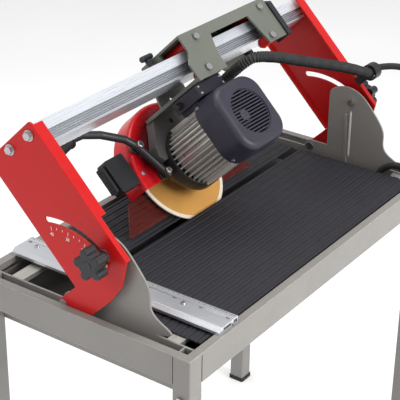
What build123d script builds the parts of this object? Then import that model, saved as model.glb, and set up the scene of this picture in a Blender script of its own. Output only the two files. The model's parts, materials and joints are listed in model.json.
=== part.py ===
"""Tile saw with a water tray on legs and a motor head that runs along a tilting rail.

World frame, mm: X along the tray, Y across it, Z up; the work table's top is Z = 0.
"Near" is the -X end, "far" the +X end. The head is drawn tilted about an axis parallel to X
and has its own frame: x as in the world, s "up" from the tilt axis, n from blade to motor.
"""
from build123d import *
import os
from math import sin, cos, radians

os.makedirs("parts", exist_ok=True)

# ================================================================ driving dimensions
TRAY_L = 790.0          # outside length along X
TRAY_W = 430.0          # outside width along Y
RIM_TOP = 3.0           # rim top above the table top
RIM_W = 14.0            # width of the rim flange
PANEL_BOT = -49.0       # lower edge of the side panels
SHEET = 2.0             # frame sheet thickness
LEG = 32.0              # square leg tube
FLOOR = -620.0
GAP = 0.05              # gap between touching faces
RUN = 0.05              # running clearance on radius

TABLE_T = 3.0
TABLE_HALF = 340.0      # far end of both table panels, near end of the right one
TABLE_Y = 195.0         # outer edges of the table panels
BLADE_SLOT = (50.0, 66.0)   # along Y, between the table panels

END_X = 359.9           # inner face of the end plates
END_T = 3.0
END_OUT = END_X + END_T
BRACKET_X = 377.0       # inner face of the tilt brackets
BRACKET_T = 3.0
BRACKET_OUT = BRACKET_X + BRACKET_T

TILT = 45.0
PIVOT_Y, PIVOT_Z = 39.0, 3.0    # tilt axis
PIVOT_R = 5.0
SLOT_R = 141.5          # radius of the tilt slot about the tilt axis
STUD_ANGLE = 127.0      # clamp stud about the tilt axis, from +Y towards +Z
STUD_R = 4.0
STUD_Y = PIVOT_Y + SLOT_R * cos(radians(STUD_ANGLE))
STUD_Z = PIVOT_Z + SLOT_R * sin(radians(STUD_ANGLE))

HEAD_X = 27.0           # carriage and spindle position along X at rest
SPINDLE_S = 94.0
SPINDLE = (HEAD_X, SPINDLE_S)
BLADE_R, BLADE_T = 100.0, 2.2
BLADE_N = -18.0         # blade mid-plane
RAIL_N = (84.0, 160.0)
RAIL_S = (206.0, 243.0)

ENDS = (-1, 1)          # near and far, or -Y and +Y

# ================================================================ frames and helpers
S_DIR = Vector(0, cos(radians(TILT)), sin(radians(TILT)))
N_DIR = Vector(0, -sin(radians(TILT)), cos(radians(TILT)))
S_AXIS = Axis((0, 0, 0), S_DIR)
N_AXIS = Axis((0, 0, 0), N_DIR)


def head_point(x, s, n):
    return Vector(x, PIVOT_Y, PIVOT_Z) + S_DIR * s + N_DIR * n


def plane_n(n):
    """Sketch (x, s), extrudes along +n."""
    return Plane(origin=head_point(0, 0, n), x_dir=(1, 0, 0), z_dir=N_DIR)


def plane_x(x):
    """Sketch (n, s), extrudes along -X."""
    return Plane(origin=head_point(x, 0, 0), x_dir=N_DIR, z_dir=(-1, 0, 0))


def plane_s(s):
    """Sketch (x, -n), extrudes along +s."""
    return Plane(origin=head_point(0, s, 0), x_dir=(1, 0, 0), z_dir=S_DIR)


def spindle_plane(n):
    """Like plane_n, but centred on the spindle."""
    return Plane(origin=head_point(*SPINDLE, n), x_dir=(1, 0, 0), z_dir=N_DIR)


def end_plane(x, y=0, z=0, facing=1):
    """World plane across X; extrudes along +X, or -X when facing is -1."""
    return Plane(origin=(x, y, z), x_dir=(0, 1, 0), z_dir=(facing, 0, 0))


def level(z):
    return Plane.XY.offset(z)


def middle(first, last):
    return (first + last) / 2


def circles(builder):
    return builder.edges().filter_by(GeomType.CIRCLE)


def save(name, part):
    part.label = name
    export_step(part, f"parts/{name}.step")


# ================================================================ stand and tray
HALF_L, HALF_W = TRAY_L / 2, TRAY_W / 2
LIP_W = 12.0            # bottom lips of the side panels
RIM_LIP_BOT = -9.0

with BuildPart() as tray_frame:
    with BuildSketch(level(RIM_TOP - SHEET)):
        RectangleRounded(TRAY_L, TRAY_W, 3)
        Rectangle(TRAY_L - 2 * RIM_W, TRAY_W - 2 * RIM_W, mode=Mode.SUBTRACT)
    extrude(amount=SHEET)
    # side panels between the legs, then their turned-in bottom lips
    for width, height in ((SHEET, RIM_TOP - SHEET - PANEL_BOT), (LIP_W, SHEET)):
        with BuildSketch(level(PANEL_BOT)):
            with Locations((0, HALF_W - width / 2), (0, -HALF_W + width / 2)):
                Rectangle(TRAY_L - 2 * LEG, width)
            with Locations((HALF_L - width / 2, 0), (-HALF_L + width / 2, 0)):
                Rectangle(width, TRAY_W - 2 * LEG)
        extrude(amount=height)
    # turned-down inner lip of the rim on the long sides
    with BuildSketch(level(RIM_LIP_BOT)):
        with Locations((0, HALF_W - RIM_W + SHEET / 2), (0, -HALF_W + RIM_W - SHEET / 2)):
            Rectangle(TRAY_L - 2 * LEG - 4, SHEET)
    extrude(amount=RIM_TOP - SHEET - RIM_LIP_BOT)
save("tray_frame", tray_frame.part)

LEG_WALL = 1.8
CAP_H = 8.0             # foot cap below the leg
LEG_X, LEG_Y = HALF_L - LEG / 2, HALF_W - LEG / 2
LEG_SPOTS = [(x * LEG_X, y * LEG_Y) for x in ENDS for y in ENDS]
BRACE_Z = -72.0
BRACE_T = 3.0
BRACE_HOLE_R = 4.2

with BuildPart() as legs:
    with BuildSketch(level(FLOOR + CAP_H)):
        with Locations(*LEG_SPOTS):
            RectangleRounded(LEG, LEG, 2.5)
            RectangleRounded(LEG - 2 * LEG_WALL, LEG - 2 * LEG_WALL, 1.2, mode=Mode.SUBTRACT)
    extrude(amount=RIM_TOP - SHEET - FLOOR - CAP_H)
    # holes for the brace bolts, through both walls along X
    with BuildSketch(end_plane(-HALF_L - 1)):
        with Locations((LEG_Y, BRACE_Z), (-LEG_Y, BRACE_Z)):
            Circle(BRACE_HOLE_R)
    extrude(amount=TRAY_L + 2, mode=Mode.SUBTRACT)
save("legs", legs.part)

# caps plugged into the legs
with BuildPart() as foot_caps:
    for spot in LEG_SPOTS:
        with BuildSketch(level(FLOOR)):
            with Locations(spot):
                RectangleRounded(LEG + 4, LEG + 4, 4)
        extrude(amount=CAP_H)
        with BuildSketch(level(FLOOR + CAP_H)):
            with Locations(spot):
                RectangleRounded(LEG - 4, LEG - 4, 1)
        extrude(amount=22)
save("foot_caps", foot_caps.part)

# flat braces on the inner faces of each pair of legs
with BuildPart() as end_braces:
    for end in ENDS:
        with BuildSketch(end_plane(end * (HALF_L - LEG - BRACE_T - GAP), 0, BRACE_Z, end)):
            RectangleRounded(TRAY_W - 6, 26, 5)
            with Locations((LEG_Y, 0), (-LEG_Y, 0)):
                Circle(BRACE_HOLE_R, mode=Mode.SUBTRACT)
        extrude(amount=BRACE_T)
save("end_braces", end_braces.part)

BRACE_HEX_R, BRACE_HEX_H = 7.0, 4.5
with BuildPart() as stand_bolts:
    for end in ENDS:
        for side in ENDS:
            head_x = end * (HALF_L + GAP)
            nut_x = end * (HALF_L - LEG - 3.2)
            with BuildSketch(end_plane(head_x, side * LEG_Y, BRACE_Z, -end)):
                Circle(4.0)
            extrude(amount=LEG + 8)
            for hex_x, facing in ((head_x, end), (nut_x, -end)):
                with BuildSketch(end_plane(hex_x, side * LEG_Y, BRACE_Z, facing)):
                    RegularPolygon(BRACE_HEX_R, 6)
                extrude(amount=BRACE_HEX_H)
    # heads of the screws in the end plates
    for end in ENDS:
        for side in ENDS:
            with BuildSketch(end_plane(end * (END_OUT + GAP), side * 165, -24, end)):
                RegularPolygon(6.5, 6)
            extrude(amount=4)
save("stand_bolts", stand_bolts.part)

# water basin, open at the top, between the end plates
BASIN_L, BASIN_W = 716.0, 396.0
BASIN_BOT, BASIN_TOP = -46.0, -11.5
BASIN_WALL = 2.0
DRAIN_X, DRAIN_Y, DRAIN_R = -300, -150, 10.0

with BuildPart() as water_basin:
    with BuildSketch(level(BASIN_BOT)):
        RectangleRounded(BASIN_L, BASIN_W, 12)
    extrude(amount=BASIN_TOP - BASIN_BOT)
    with BuildSketch(level(BASIN_BOT + BASIN_WALL)):
        RectangleRounded(BASIN_L - 2 * BASIN_WALL, BASIN_W - 2 * BASIN_WALL, 10)
    extrude(amount=BASIN_TOP - BASIN_BOT, mode=Mode.SUBTRACT)
    with Locations((DRAIN_X, DRAIN_Y, BASIN_BOT)):
        Cylinder(DRAIN_R, 10, mode=Mode.SUBTRACT)
save("water_basin", water_basin.part)

# flange under the basin, grip bar below it, plug up through the drain
PLUG_TOP = BASIN_BOT - 0.1
PLUG_FLANGE_H = 6
with BuildPart() as drain_plug:
    with BuildSketch(Plane(origin=(DRAIN_X, DRAIN_Y, PLUG_TOP), z_dir=(0, 0, -1))):
        Circle(15)
    extrude(amount=PLUG_FLANGE_H)
    grip_origin = (DRAIN_X, DRAIN_Y, PLUG_TOP - PLUG_FLANGE_H)
    with BuildSketch(Plane(origin=grip_origin, z_dir=(0, 0, -1))):
        Rectangle(24, 5)
    extrude(amount=9)
    with BuildSketch(Plane(origin=(DRAIN_X, DRAIN_Y, PLUG_TOP), z_dir=(0, 0, 1))):
        Circle(DRAIN_R - GAP)
    extrude(amount=7)
save("drain_plug", drain_plug.part)

# two rectangular tubes under the table, between the end plates
BAR_Y = 157.0
BAR_W, BAR_H, BAR_WALL = 24.0, 8.0, 1.6
with BuildPart() as support_bars:
    for side in ENDS:
        with BuildSketch(end_plane(-END_X + GAP)):
            with Locations((side * BAR_Y, -TABLE_T - GAP - BAR_H / 2)):
                Rectangle(BAR_W, BAR_H)
                Rectangle(BAR_W - 2 * BAR_WALL, BAR_H - 2 * BAR_WALL, mode=Mode.SUBTRACT)
        extrude(amount=2 * (END_X - GAP))
save("support_bars", support_bars.part)

# name, near end in X, Y range
TABLE_PANELS = (
    ("table_panel_right", -TABLE_HALF, -TABLE_Y, BLADE_SLOT[0]),
    ("table_panel_left", -306.0, BLADE_SLOT[1], TABLE_Y),
)
for name, x0, y0, y1 in TABLE_PANELS:
    with BuildPart() as table_panel:
        with BuildSketch(level(-TABLE_T)):
            with Locations((middle(x0, TABLE_HALF), middle(y0, y1))):
                RectangleRounded(TABLE_HALF - x0, y1 - y0, 1.5)
        extrude(amount=TABLE_T)
    save(name, table_panel.part)

# ---------------------------------------------------------------- end plates
PLATE_HALF_W = 198
PLATE_BOT = PANEL_BOT + 3
PIVOT_LUG_TOP = (39, 15.2)
EAR_START = (2, 121)    # where the straight edge meets the curved ear
# (y, z) over the ear that carries the clamp stud and down to the -Y side
EAR_CURVE = [
    EAR_START, (-8, 137), (-32, 144), (-59, 138), (-94, 106),
    (-118, 65), (-134, 26), (-150, 6), (-165, 0),
]
with BuildPart() as end_plate_near:
    with BuildSketch(end_plane(-END_OUT)):
        with BuildLine():
            Polyline((-PLATE_HALF_W, PLATE_BOT), (PLATE_HALF_W, PLATE_BOT),
                     (PLATE_HALF_W, 0), (51.5, 0))
            ThreePointArc((51.5, 0), (47.5, 11.5), PIVOT_LUG_TOP)
            Polyline(PIVOT_LUG_TOP, (2, 15.2), EAR_START)
            Spline(*EAR_CURVE, tangents=[(0, 1), (-1, 0)])
            Polyline(EAR_CURVE[-1], (-PLATE_HALF_W, 0), (-PLATE_HALF_W, PLATE_BOT))
        make_face()
    extrude(amount=END_T)
    # holes for the pivot pin and the clamp stud
    with BuildSketch(end_plane(-END_OUT)):
        with Locations((PIVOT_Y, PIVOT_Z)):
            Circle(PIVOT_R + RUN)
        with Locations((STUD_Y, STUD_Z)):
            Circle(STUD_R)
    extrude(amount=END_T, mode=Mode.SUBTRACT)
    # stiffening bead on the inner face
    with BuildSketch(end_plane(-END_X)):
        with Locations((-38, 34)):
            SlotOverall(110, 5, rotation=87)
    extrude(amount=1.5)
save("end_plate_near", end_plate_near.part)

with BuildPart() as end_plate_far:
    mirror(end_plate_near.part, about=Plane.YZ)
save("end_plate_far", end_plate_far.part)

# ================================================================ stop fence
FENCE_X0, FENCE_X1 = -312.0, -262.0
FENCE_BOT, FENCE_TOP = RIM_TOP + GAP, 14.0
FENCE_SPANS = ((-209.0, 50.0), (92.0, 209.0))   # Y ranges of the two sections
# (x, z), from the lower near corner, anticlockwise seen from -Y
FENCE_PROFILE = [
    (FENCE_X0, FENCE_BOT),
    (FENCE_X0 + 34, FENCE_BOT), (FENCE_X0 + 34, FENCE_BOT + 3.2),       # groove underneath
    (FENCE_X0 + 38, FENCE_BOT + 3.2), (FENCE_X0 + 38, FENCE_BOT),
    (FENCE_X1, FENCE_BOT), (FENCE_X1, FENCE_TOP),
    (FENCE_X1 - 11, FENCE_TOP), (FENCE_X1 - 11, FENCE_TOP - 1.6),       # groove on top
    (FENCE_X1 - 13, FENCE_TOP - 1.6), (FENCE_X1 - 13, FENCE_TOP - 0.6),
    (FENCE_X0 + 8, FENCE_TOP - 0.6), (FENCE_X0, FENCE_TOP - 6),         # near chamfer
]
with BuildPart() as stop_fence:
    for y0, y1 in FENCE_SPANS:
        with BuildSketch(Plane(origin=(0, y0, 0), x_dir=(1, 0, 0), z_dir=(0, -1, 0))):
            with BuildLine():
                Polyline(*FENCE_PROFILE, close=True)
            make_face()
            # two hollow chambers
            with Locations((FENCE_X1 - 6.5, middle(FENCE_BOT, FENCE_TOP))):
                Rectangle(9, 6, mode=Mode.SUBTRACT)
            with Locations((FENCE_X0 + 22, middle(FENCE_BOT, FENCE_TOP))):
                Rectangle(20, 5, mode=Mode.SUBTRACT)
        extrude(amount=-(y1 - y0))
save("stop_fence", stop_fence.part)

with BuildPart() as fence_screws:
    for y in (-120.0, -30.0, 120.0, 180.0):
        with BuildSketch(Plane(origin=(FENCE_X0 + 30, y, FENCE_TOP - 0.55), z_dir=(0, 0, 1))):
            Circle(4.0)
            Circle(1.8, mode=Mode.SUBTRACT)
        extrude(amount=2.0)
save("fence_screws", fence_screws.part)

# ================================================================ tilt brackets
RAIL_SCREWS = ((101.0, 234.0), (153.0, 230.0))  # (n, s)
SLOT_HALF_W = 5.0
SLOT_ENDS = (35.0, 84.0)    # slot angles about the tilt axis, from s towards n
FLANGE_T = 3.0
BRACKET_N = (45, 172)


def polar(radius, angle):
    """(n, s) at an angle about the tilt axis, from s towards n."""
    return (radius * sin(radians(angle)), radius * cos(radians(angle)))


def slot_side(radius, first, last):
    """Three points of one long side of the tilt slot."""
    return [polar(radius, angle) for angle in (first, middle(first, last), last)]


def slot_tip(angle, step):
    """Slot centre at an angle, moved a step along the slot."""
    n, s = polar(SLOT_R, angle)
    return (n + step * cos(radians(angle)), s - step * sin(radians(angle)))


with BuildPart() as tilt_bracket_near:
    with BuildSketch(plane_x(-BRACKET_X)):
        with BuildLine():
            Polyline((45, 241), (45, 8.5), (2, 8.5))
            ThreePointArc((2, 8.5), (-8.5, 1), (-3, -8.5))      # round the pivot
            Polyline((-3, -8.5), (37, -41), (95, -41), (134, -33), (172, -8), (172, 238))
            ThreePointArc((172, 238), (169.7, 243.7), (164, 246))
            Polyline((164, 246), (51, 247))
            ThreePointArc((51, 247), (46.8, 245.2), (45, 241))
        make_face()
        Circle(PIVOT_R + RUN, mode=Mode.SUBTRACT)
        with Locations(*RAIL_SCREWS):
            Circle(4.2, mode=Mode.SUBTRACT)
        # curved tilt slot
        first, last = SLOT_ENDS
        outer = slot_side(SLOT_R + SLOT_HALF_W, first, last)
        inner = slot_side(SLOT_R - SLOT_HALF_W, last, first)
        with BuildSketch(mode=Mode.PRIVATE) as slot_face:
            with BuildLine():
                ThreePointArc(*outer)
                ThreePointArc(outer[-1], slot_tip(last, SLOT_HALF_W), inner[0])
                ThreePointArc(*inner)
                ThreePointArc(inner[-1], slot_tip(first, -SLOT_HALF_W), outer[0])
            make_face()
        add(slot_face.sketch, mode=Mode.SUBTRACT)
    extrude(amount=BRACKET_T)
    # side flanges turned in towards the tray, the high-n one deeper from s = 70 up
    with BuildSketch(plane_x(-BRACKET_X)):
        with Locations((BRACKET_N[1] - FLANGE_T / 2, middle(-8, 238))):
            Rectangle(FLANGE_T, 238 + 8)
        with Locations((BRACKET_N[0] + FLANGE_T / 2, middle(8.5, 240))):
            Rectangle(FLANGE_T, 240 - 8.5)
    extrude(amount=-7)
    with BuildSketch(plane_x(-BRACKET_X)):
        with Locations((BRACKET_N[1] - FLANGE_T / 2, middle(70, 238))):
            Rectangle(FLANGE_T, 238 - 70)
    extrude(amount=-19)
    # long outer edges
    fillet(tilt_bracket_near.edges().filter_by(S_AXIS).group_by(Axis.X)[0], 1.5)
save("tilt_bracket_near", tilt_bracket_near.part)

with BuildPart() as tilt_bracket_far:
    mirror(tilt_bracket_near.part, about=Plane.YZ)
save("tilt_bracket_far", tilt_bracket_far.part)

# pins through the end plates and brackets, with a head at both ends
PIN_IN = END_X - 3.2
PIN_HEAD_R = 7.5
# start in X, radius, length
PIN_STEPS = (
    (PIN_IN, PIVOT_R, BRACKET_OUT + 0.8 - PIN_IN),
    (BRACKET_OUT + GAP, PIN_HEAD_R, 0.75),
    (PIN_IN, PIN_HEAD_R, 3.0),
)
with BuildPart() as pivot_pins:
    for end in ENDS:
        for x, radius, length in PIN_STEPS:
            with BuildSketch(end_plane(end * x, PIVOT_Y, PIVOT_Z, end)):
                Circle(radius)
            extrude(amount=length)
save("pivot_pins", pivot_pins.part)

STUD_IN = END_X - 5.0
# start in X, radius, length: the stud and its washer
STUD_STEPS = (
    (STUD_IN, STUD_R, END_OUT + 44.0 - STUD_IN),
    (BRACKET_OUT + 0.3, 11.0, 2.0),
)
with BuildPart() as clamp_studs:
    for end in ENDS:
        for x, radius, length in STUD_STEPS:
            with BuildSketch(end_plane(end * x, STUD_Y, STUD_Z, end)):
                Circle(radius)
            extrude(amount=length)
        # hexagons on both faces of the end plate
        for x in (STUD_IN, END_OUT + 0.1):
            with BuildSketch(end_plane(end * x, STUD_Y, STUD_Z, end)):
                RegularPolygon(7.5, 6)
            extrude(amount=4.9)
save("clamp_studs", clamp_studs.part)

KNOB_X = BRACKET_OUT + 2.5
for name, end, outermost in (("tilt_knob_near", -1, 0), ("tilt_knob_far", 1, -1)):
    with BuildPart() as knob:
        # hub
        with BuildSketch(end_plane(end * KNOB_X, STUD_Y, STUD_Z, end)):
            Circle(11.0)
        extrude(amount=20.0)
        # five-lobed grip
        with BuildSketch(end_plane(end * (KNOB_X + 16.0), STUD_Y, STUD_Z, end)):
            Circle(18.0)
            with PolarLocations(19.0, 5):
                Circle(7.5)
        extrude(amount=22.0)
        # bore for the stud
        with BuildSketch(end_plane(end * KNOB_X, STUD_Y, STUD_Z, end)):
            Circle(STUD_R + RUN)
        extrude(amount=29.0, mode=Mode.SUBTRACT)
        fillet(circles(knob).group_by(Axis.X)[outermost], 2.0)
    save(name, knob.part)

# small plate below the near knob's washer; (y, z) from the stud
POINTER_OUTLINE = [(-9, -11.2), (9, -11.2), (5, -26), (0, -36), (-5, -26)]
with BuildPart() as angle_pointer:
    with BuildSketch(end_plane(-(BRACKET_OUT + 2.4), STUD_Y, STUD_Z)):
        with BuildLine():
            Polyline(*POINTER_OUTLINE, close=True)
        make_face()
    extrude(amount=1.4)
save("angle_pointer", angle_pointer.part)

# ================================================================ rail
# (inset from the rail's side, height above its bottom), upwards; both sides are alike
RAIL_SIDE = [
    (8, 0), (8, 5), (12, 5), (12, 9), (6, 9), (6, 15), (10, 15), (10, 19), (0, 19),
    (0, RAIL_S[1] - RAIL_S[0]),
]
RAIL_PROFILE = [(RAIL_N[1] - inset, RAIL_S[0] + rise) for inset, rise in RAIL_SIDE]
RAIL_PROFILE += [(RAIL_N[0] + inset, RAIL_S[0] + rise) for inset, rise in RAIL_SIDE[::-1]]

with BuildPart() as guide_rail:
    with BuildSketch(plane_x(BRACKET_X - GAP)):
        with BuildLine():
            Polyline(*RAIL_PROFILE, close=True)
        make_face()
        # lower and upper chambers
        with Locations((middle(*RAIL_N), RAIL_S[0] + 10)):
            Rectangle(44, 15, mode=Mode.SUBTRACT)
        with Locations((middle(*RAIL_N), RAIL_S[1] - 9.5)):
            Rectangle(24, 12, mode=Mode.SUBTRACT)
        with Locations(*RAIL_SCREWS):
            Circle(4.0, mode=Mode.SUBTRACT)
    extrude(amount=2 * (BRACKET_X - GAP))
save("guide_rail", guide_rail.part)


def rail_bolt_plane(end, n, s, lift, facing):
    """Plane across X on a rail bolt's axis, lifted off the bracket's outer face."""
    origin = head_point(end * (BRACKET_OUT + lift), s, n)
    return Plane(origin=origin, x_dir=(0, 1, 0), z_dir=(facing, 0, 0))


WASHER_T = 1.6
with BuildPart() as rail_bolts:
    for end in ENDS:
        for n, s in RAIL_SCREWS:
            with BuildSketch(rail_bolt_plane(end, n, s, GAP, -end)):
                Circle(3.95)
            extrude(amount=24)
            with BuildSketch(rail_bolt_plane(end, n, s, GAP, end)):
                Circle(9.0)
            extrude(amount=WASHER_T)
            with BuildSketch(rail_bolt_plane(end, n, s, GAP + WASHER_T, end)):
                RegularPolygon(7.0, 6)
            extrude(amount=5.0)
save("rail_bolts", rail_bolts.part)

# ================================================================ carriage
SADDLE_X = (4.0, 262.0)
SADDLE_N = (66, 178)
SADDLE_S = 264.0        # underside of the top plate
SADDLE_T = 4.0
SKIRT_TOP = SADDLE_S + 2
TIE_S, TIE_T = 184.0, 6.0   # bottom tie plate
ROLLER_R, AXLE_R = 10.0, 4.0
UPPER_S = RAIL_S[1] + ROLLER_R + GAP
LOWER_S = RAIL_S[0] - ROLLER_R - GAP
# name, x, s, start of axle shank, start and width of roller along n
ROLLERS = (
    ("roller_upper_rear", 40.0, UPPER_S, 64.5, 92.0, 60.0),
    ("roller_upper_front", 238.0, UPPER_S, 64.5, 92.0, 60.0),
    ("roller_lower_rear", 22.0, LOWER_S, 148.0, 149.0, 20.0),
    ("roller_lower_front", 222.0, LOWER_S, 148.0, 149.0, 20.0),
)
LOCK_X, LOCK_N = -6.0, 100.0    # lock screw
LOCK_R = 4.0
NOSE_X = (LOCK_X - 12, SADDLE_X[0] + 6)

# (x, s) outlines of the two side skirts
LOW_N_SKIRT = [
    (SADDLE_X[0], SKIRT_TOP), (SADDLE_X[0], 240), (HEAD_X - 36, 205), (HEAD_X - 40, 190),
    (HEAD_X + 40, 190), (HEAD_X + 44, 214), (160, 236), (200, 186),
    (SADDLE_X[1], 186), (SADDLE_X[1], SKIRT_TOP),
]
HIGH_N_SKIRT = [
    (SADDLE_X[0], SKIRT_TOP), (SADDLE_X[0], 236), (HEAD_X - 40, 214), (HEAD_X - 40, 182),
    (HEAD_X + 40, 182), (HEAD_X + 40, 210), (80, 248), (196, 248), (208, 186),
    (SADDLE_X[1], 186), (SADDLE_X[1], SKIRT_TOP),
]

with BuildPart() as carriage_body:
    # saddle over the rail: top plate and two skirts
    with BuildSketch(plane_s(SADDLE_S)):
        with Locations((middle(*SADDLE_X), -middle(*SADDLE_N))):
            RectangleRounded(SADDLE_X[1] - SADDLE_X[0], SADDLE_N[1] - SADDLE_N[0], 2)
    extrude(amount=SADDLE_T)
    for n, outline in ((SADDLE_N[0], LOW_N_SKIRT), (SADDLE_N[1] - SADDLE_T, HIGH_N_SKIRT)):
        with BuildSketch(plane_n(n)):
            with BuildLine():
                Polyline(*outline, close=True)
            make_face()
        extrude(amount=SADDLE_T)
    # bottom tie plate under the rail
    with BuildSketch(plane_s(TIE_S)):
        with Locations((HEAD_X, -middle(20, SADDLE_N[1]))):
            Rectangle(80, SADDLE_N[1] - 20)
    extrude(amount=TIE_T)
    # clearance for the lower rear roller
    with BuildSketch(plane_s(TIE_S - 1)):
        with Locations((ROLLERS[2][1], -160)):
            Rectangle(24, 30)
    extrude(amount=TIE_T + 2, mode=Mode.SUBTRACT)
    # nose for the lock screw, and the web that joins it to the saddle
    with BuildSketch(plane_s(RAIL_S[1] + 1.5)):
        with Locations((middle(*NOSE_X), -LOCK_N)):
            Rectangle(NOSE_X[1] - NOSE_X[0], 24)
    extrude(amount=10)
    with BuildSketch(plane_n(SADDLE_N[0])):
        with Locations((SADDLE_X[0] + 4, 259)):
            Rectangle(8, 12)
    extrude(amount=50)
    with BuildSketch(plane_s(RAIL_S[1] + 1)):
        with Locations((LOCK_X, -LOCK_N)):
            Circle(LOCK_R + RUN)
    extrude(amount=14, mode=Mode.SUBTRACT)
    # roller axle holes
    with BuildSketch(plane_n(64)):
        with Locations(*[roller[1:3] for roller in ROLLERS]):
            Circle(AXLE_R + 0.02)
    extrude(amount=120, mode=Mode.SUBTRACT)
save("carriage_body", carriage_body.part)

AXLE_END = 179.5
AXLE_HEAD_H = 4.0
with BuildPart() as roller_axles:
    for _, x, s, axle_start, _, _ in ROLLERS:
        with BuildSketch(plane_n(axle_start)):
            with Locations((x, s)):
                Circle(AXLE_R)
        extrude(amount=AXLE_END - axle_start)
        for head_start in (axle_start - AXLE_HEAD_H, AXLE_END):
            with BuildSketch(plane_n(head_start)):
                with Locations((x, s)):
                    RegularPolygon(6.5, 6)
            extrude(amount=AXLE_HEAD_H)
save("roller_axles", roller_axles.part)

for name, x, s, _, roller_start, width in ROLLERS:
    with BuildPart() as roller:
        with BuildSketch(plane_n(roller_start)):
            with Locations((x, s)):
                Circle(ROLLER_R)
                Circle(AXLE_R + RUN, mode=Mode.SUBTRACT)
        extrude(amount=width)
        fillet(circles(roller).sort_by(SortBy.RADIUS)[-2:], 1.0)
    save(name, roller.part)

with BuildPart() as lock_screw:
    # shank, collar and cross bar
    for start, radius, length in ((0.3, LOCK_R, 30), (11.8, 6.5, 14)):
        with BuildSketch(plane_s(RAIL_S[1] + start)):
            with Locations((LOCK_X, -LOCK_N)):
                Circle(radius)
        extrude(amount=length)
    with BuildSketch(plane_x(LOCK_X + 14)):
        with Locations((LOCK_N, RAIL_S[1] + 31)):
            Circle(5.5)
    extrude(amount=28)
    for bar_end in (0, -1):
        fillet(circles(lock_screw).group_by(Axis.X)[bar_end], 2.0)
save("lock_screw", lock_screw.part)

# wiper at the saddle's far end, wrapped round the rail
WIPER_X = 274
WIPER_GAP = 1.2
# (n, s): outside over the top, then back along the rail
WIPER_PROFILE = [
    (66, 258), (78, 268), (160, 268), (182, 254), (182, 184), (150, 184),
    (150, RAIL_S[0] - WIPER_GAP), (RAIL_N[1] + WIPER_GAP, RAIL_S[0] - WIPER_GAP),
    (RAIL_N[1] + WIPER_GAP, RAIL_S[1] + WIPER_GAP),
    (RAIL_N[0] - WIPER_GAP, RAIL_S[1] + WIPER_GAP), (RAIL_N[0] - WIPER_GAP, 200), (66, 200),
]
with BuildPart() as rail_wiper:
    with BuildSketch(plane_x(WIPER_X)):
        with BuildLine():
            Polyline(*WIPER_PROFILE, close=True)
        make_face()
    extrude(amount=WIPER_X - SADDLE_X[1] - 0.1)
    # four small blocks on top
    with BuildSketch(plane_s(267)):
        with Locations(*[(268, -n) for n in (92, 108, 124, 140)]):
            Rectangle(8, 6)
    extrude(amount=4)
save("rail_wiper", rail_wiper.part)

# arm from the tie plate down to the motor's front bell
BELL_R = 60.0
BELL_N = 12             # outer face of the front bell
ARM_TOP = TIE_S - 0.1
# (x from the spindle, s)
ARM_OUTLINE = [
    (-36, ARM_TOP), (-46, 168), (-68, 140), (-73, 122), (-66, 112), (-40, 112),
    (0, 140), (30, 140), (40, 150), (40, ARM_TOP),
]
with BuildPart() as hanger_arm:
    with BuildSketch(plane_n(BELL_N)):
        with BuildLine():
            Polyline(*[(HEAD_X + x, s) for x, s in ARM_OUTLINE], close=True)
        make_face()
        with Locations(SPINDLE):
            Circle(BELL_R + 0.2, mode=Mode.SUBTRACT)
        with Locations((HEAD_X + 4, 169)):
            Circle(5.0, mode=Mode.SUBTRACT)
    extrude(amount=20)
save("hanger_arm", hanger_arm.part)

# ================================================================ motor
BEARING_R = 16.0
SEAT_R = 18.0           # outside of the bearing seats
SHAFT_R = 10.0
BELL_DEPTH = 28
HOUSING_N = (BELL_N + BELL_DEPTH + 0.1, 140.0)
STATOR_R = 46.4

with BuildPart() as motor_front_bell:
    with BuildSketch(spindle_plane(BELL_N)):
        Circle(BELL_R)
    extrude(amount=BELL_DEPTH)
    fillet(circles(motor_front_bell).sort_by(N_AXIS)[0], 5)
    with BuildSketch(spindle_plane(BELL_N + 4)):
        Circle(54)
    extrude(amount=BELL_DEPTH - 4, mode=Mode.SUBTRACT)
    # bearing seat, its bore and the shaft hole
    with BuildSketch(spindle_plane(BELL_N)):
        Circle(SEAT_R)
    extrude(amount=17)
    for start, radius, depth in ((17, BEARING_R + 0.02, 12), (10, SHAFT_R + 0.5, 10)):
        with BuildSketch(spindle_plane(start)):
            Circle(radius)
        extrude(amount=depth, mode=Mode.SUBTRACT)
save("motor_front_bell", motor_front_bell.part)

with BuildPart() as motor_housing:
    with BuildSketch(spindle_plane(HOUSING_N[0])):
        Circle(51)
        # cooling fins
        with PolarLocations(53.5, 36):
            Rectangle(9, 2.6)
        # pads above and below, square corners
        with Locations((0, -52), (0, 52)):
            Rectangle(44, 12)
        Circle(46.5, mode=Mode.SUBTRACT)
    extrude(amount=HOUSING_N[1] - HOUSING_N[0])
save("motor_housing", motor_housing.part)

# box on a neck that stands on the housing's upper pad
BOX_N = (88, 158)
NECK_N = (89, 138)
BOX_S = 160.2
NECK_S = SPINDLE_S + 58.1
with BuildPart() as terminal_box:
    with BuildSketch(plane_s(BOX_S)):
        with Locations((HEAD_X, -middle(*BOX_N))):
            RectangleRounded(76, BOX_N[1] - BOX_N[0], 5)
    extrude(amount=TIE_S - 0.1 - BOX_S)
    fillet(terminal_box.edges().filter_by(Axis.X).group_by(S_AXIS)[-1], 3)
    with BuildSketch(plane_s(NECK_S)):
        with Locations((HEAD_X, -middle(*NECK_N))):
            RectangleRounded(60, NECK_N[1] - NECK_N[0], 4)
    extrude(amount=BOX_S + 0.1 - NECK_S)
save("terminal_box", terminal_box.part)

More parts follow.
